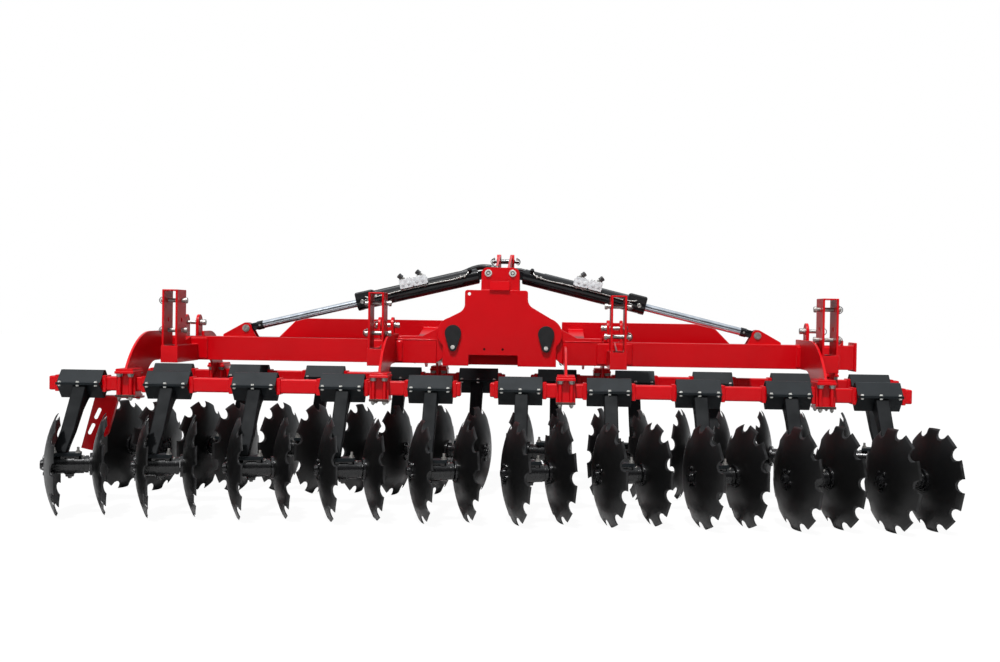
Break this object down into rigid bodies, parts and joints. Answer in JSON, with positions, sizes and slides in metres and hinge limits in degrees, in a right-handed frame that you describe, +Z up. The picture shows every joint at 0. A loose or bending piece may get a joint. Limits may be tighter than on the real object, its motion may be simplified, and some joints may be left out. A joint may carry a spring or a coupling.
{
  "type": "folding disc harrow",
  "caption": "Mounted folding disc harrow: notched discs in pairs on sprung arms, two wings that fold up, a mast with two cylinders, and a three-point hitch.",
  "frame": {"origin": "on the ground, in the middle of the machine's width and length", "axes": "+Y the way it travels, +Z up, +X to the right seen from behind"},
  "size_m": [5.094, 2.3256, 1.543],
  "materials": {
    "red_paint": "gloss",
    "black_paint": "satin",
    "black_gloss": "gloss",
    "disc_steel": "satin",
    "chrome_rod": "polished",
    "zinc_steel": "zinc plated",
    "valve_metal": "satin"
  },
  "bodies": {
    "centre": {"rear_plate": "red_paint", "centre_frame": "red_paint", "hitch_frame": "red_paint", "mast": "red_paint", "hinge_pins": "black_paint", "base_pins": "zinc_steel", "hitch_pins": "zinc_steel"},
    "left_wing": {"left_wing_frame": "red_paint", "left_hangers": "red_paint", "left_gang_tubes": "red_paint", "left_arms": "black_paint", "left_shells": "black_paint", "left_roller_brackets": "red_paint", "left_bracket_pins": "zinc_steel", "side_deflector": "red_paint"},
    "left_barrel": {"left_barrel": "black_gloss", "left_valve_block": "valve_metal"},
    "left_rod": {"left_rod": "chrome_rod"},
    "left_rear_discs_1": {"left_rear_discs_1": "disc_steel"},
    "left_rear_discs_2": {"left_rear_discs_2": "disc_steel"},
    "left_rear_discs_3": {"left_rear_discs_3": "disc_steel"},
    "left_rear_discs_4": {"left_rear_discs_4": "disc_steel"},
    "left_rear_discs_5": {"left_rear_discs_5": "disc_steel"},
    "left_front_discs_1": {"left_front_discs_1": "disc_steel"},
    "left_front_discs_2": {"left_front_discs_2": "disc_steel"},
    "left_front_discs_3": {"left_front_discs_3": "disc_steel"},
    "left_front_discs_4": {"left_front_discs_4": "disc_steel"},
    "left_front_discs_5": {"left_front_discs_5": "disc_steel"},
    "right_wing": {"right_wing_frame": "red_paint", "right_hangers": "red_paint", "right_gang_tubes": "red_paint", "right_arms": "black_paint", "right_shells": "black_paint", "right_roller_brackets": "red_paint", "right_bracket_pins": "zinc_steel"},
    "right_barrel": {"right_barrel": "black_gloss", "right_valve_block": "valve_metal"},
    "right_rod": {"right_rod": "chrome_rod"},
    "right_rear_discs_1": {"right_rear_discs_1": "disc_steel"},
    "right_rear_discs_2": {"right_rear_discs_2": "disc_steel"},
    "right_rear_discs_3": {"right_rear_discs_3": "disc_steel"},
    "right_rear_discs_4": {"right_rear_discs_4": "disc_steel"},
    "right_rear_discs_5": {"right_rear_discs_5": "disc_steel"},
    "right_front_discs_1": {"right_front_discs_1": "disc_steel"},
    "right_front_discs_2": {"right_front_discs_2": "disc_steel"},
    "right_front_discs_3": {"right_front_discs_3": "disc_steel"},
    "right_front_discs_4": {"right_front_discs_4": "disc_steel"},
    "right_front_discs_5": {"right_front_discs_5": "disc_steel"}
  },
  "joints": [
    {"name": "left_fold", "type": "hinge", "parent": "centre", "child": "left_wing", "pos_m": [-0.287, 0.2048, 1.013], "axis": [0, 1, 0], "range_deg": [0, 90]},
    {"name": "left_barrel_swing", "type": "hinge", "parent": "centre", "child": "left_barrel", "pos_m": [-0.075, 0.2048, 1.386], "axis": [0, 1, 0], "range_deg": [0, 91.3]},
    {"name": "left_rod_slide", "type": "slide", "parent": "left_barrel", "child": "left_rod", "axis": [-0.9724, 0, -0.2334], "range_m": [-0.6067, 0]},
    {"name": "left_rear_spin_1", "type": "hinge", "parent": "left_wing", "child": "left_rear_discs_1", "pos_m": [-0.304, -0.87721, 0.27754], "axis": [-0.9563, -0.2924, 0], "continuous": true},
    {"name": "left_rear_spin_2", "type": "hinge", "parent": "left_wing", "child": "left_rear_discs_2", "pos_m": [-0.804, -0.87721, 0.27754], "axis": [-0.9563, -0.2924, 0], "continuous": true},
    {"name": "left_rear_spin_3", "type": "hinge", "parent": "left_wing", "child": "left_rear_discs_3", "pos_m": [-1.304, -0.87721, 0.27754], "axis": [-0.9563, -0.2924, 0], "continuous": true},
    {"name": "left_rear_spin_4", "type": "hinge", "parent": "left_wing", "child": "left_rear_discs_4", "pos_m": [-1.804, -0.87721, 0.27754], "axis": [-0.9563, -0.2924, 0], "continuous": true},
    {"name": "left_rear_spin_5", "type": "hinge", "parent": "left_wing", "child": "left_rear_discs_5", "pos_m": [-2.304, -0.87721, 0.27754], "axis": [-0.9563, -0.2924, 0], "continuous": true},
    {"name": "left_front_spin_1", "type": "hinge", "parent": "left_wing", "child": "left_front_discs_1", "pos_m": [-0.205, 0.18779, 0.27754], "axis": [0.9563, -0.2924, 0], "continuous": true},
    {"name": "left_front_spin_2", "type": "hinge", "parent": "left_wing", "child": "left_front_discs_2", "pos_m": [-0.705, 0.18779, 0.27754], "axis": [0.9563, -0.2924, 0], "continuous": true},
    {"name": "left_front_spin_3", "type": "hinge", "parent": "left_wing", "child": "left_front_discs_3", "pos_m": [-1.205, 0.18779, 0.27754], "axis": [0.9563, -0.2924, 0], "continuous": true},
    {"name": "left_front_spin_4", "type": "hinge", "parent": "left_wing", "child": "left_front_discs_4", "pos_m": [-1.705, 0.18779, 0.27754], "axis": [0.9563, -0.2924, 0], "continuous": true},
    {"name": "left_front_spin_5", "type": "hinge", "parent": "left_wing", "child": "left_front_discs_5", "pos_m": [-2.205, 0.18779, 0.27754], "axis": [0.9563, -0.2924, 0], "continuous": true},
    {"name": "right_fold", "type": "hinge", "parent": "centre", "child": "right_wing", "pos_m": [0.287, 0.2048, 1.013], "axis": [0, -1, 0], "range_deg": [0, 90]},
    {"name": "right_barrel_swing", "type": "hinge", "parent": "centre", "child": "right_barrel", "pos_m": [0.075, 0.2048, 1.386], "axis": [0, -1, 0], "range_deg": [0, 91.3]},
    {"name": "right_rod_slide", "type": "slide", "parent": "right_barrel", "child": "right_rod", "axis": [0.9724, 0, -0.2334], "range_m": [-0.6067, 0]},
    {"name": "right_rear_spin_1", "type": "hinge", "parent": "right_wing", "child": "right_rear_discs_1", "pos_m": [0.205, -0.87721, 0.27754], "axis": [-0.9563, -0.2924, 0], "continuous": true},
    {"name": "right_rear_spin_2", "type": "hinge", "parent": "right_wing", "child": "right_rear_discs_2", "pos_m": [0.705, -0.87721, 0.27754], "axis": [-0.9563, -0.2924, 0], "continuous": true},
    {"name": "right_rear_spin_3", "type": "hinge", "parent": "right_wing", "child": "right_rear_discs_3", "pos_m": [1.205, -0.87721, 0.27754], "axis": [-0.9563, -0.2924, 0], "continuous": true},
    {"name": "right_rear_spin_4", "type": "hinge", "parent": "right_wing", "child": "right_rear_discs_4", "pos_m": [1.705, -0.87721, 0.27754], "axis": [-0.9563, -0.2924, 0], "continuous": true},
    {"name": "right_rear_spin_5", "type": "hinge", "parent": "right_wing", "child": "right_rear_discs_5", "pos_m": [2.205, -0.87721, 0.27754], "axis": [-0.9563, -0.2924, 0], "continuous": true},
    {"name": "right_front_spin_1", "type": "hinge", "parent": "right_wing", "child": "right_front_discs_1", "pos_m": [0.304, 0.18779, 0.27754], "axis": [0.9563, -0.2924, 0], "continuous": true},
    {"name": "right_front_spin_2", "type": "hinge", "parent": "right_wing", "child": "right_front_discs_2", "pos_m": [0.804, 0.18779, 0.27754], "axis": [0.9563, -0.2924, 0], "continuous": true},
    {"name": "right_front_spin_3", "type": "hinge", "parent": "right_wing", "child": "right_front_discs_3", "pos_m": [1.304, 0.18779, 0.27754], "axis": [0.9563, -0.2924, 0], "continuous": true},
    {"name": "right_front_spin_4", "type": "hinge", "parent": "right_wing", "child": "right_front_discs_4", "pos_m": [1.804, 0.18779, 0.27754], "axis": [0.9563, -0.2924, 0], "continuous": true},
    {"name": "right_front_spin_5", "type": "hinge", "parent": "right_wing", "child": "right_front_discs_5", "pos_m": [2.304, 0.18779, 0.27754], "axis": [0.9563, -0.2924, 0], "continuous": true}
  ],
  "couplings": [
    {"joint": "left_barrel_swing", "follows": "left_fold", "ratio": 1.0134},
    {"joint": "left_rod_slide", "follows": "left_fold", "m_per_rad": -0.38593},
    {"joint": "right_barrel_swing", "follows": "right_fold", "ratio": 1.0134},
    {"joint": "right_rod_slide", "follows": "right_fold", "m_per_rad": -0.38593}
  ]
}
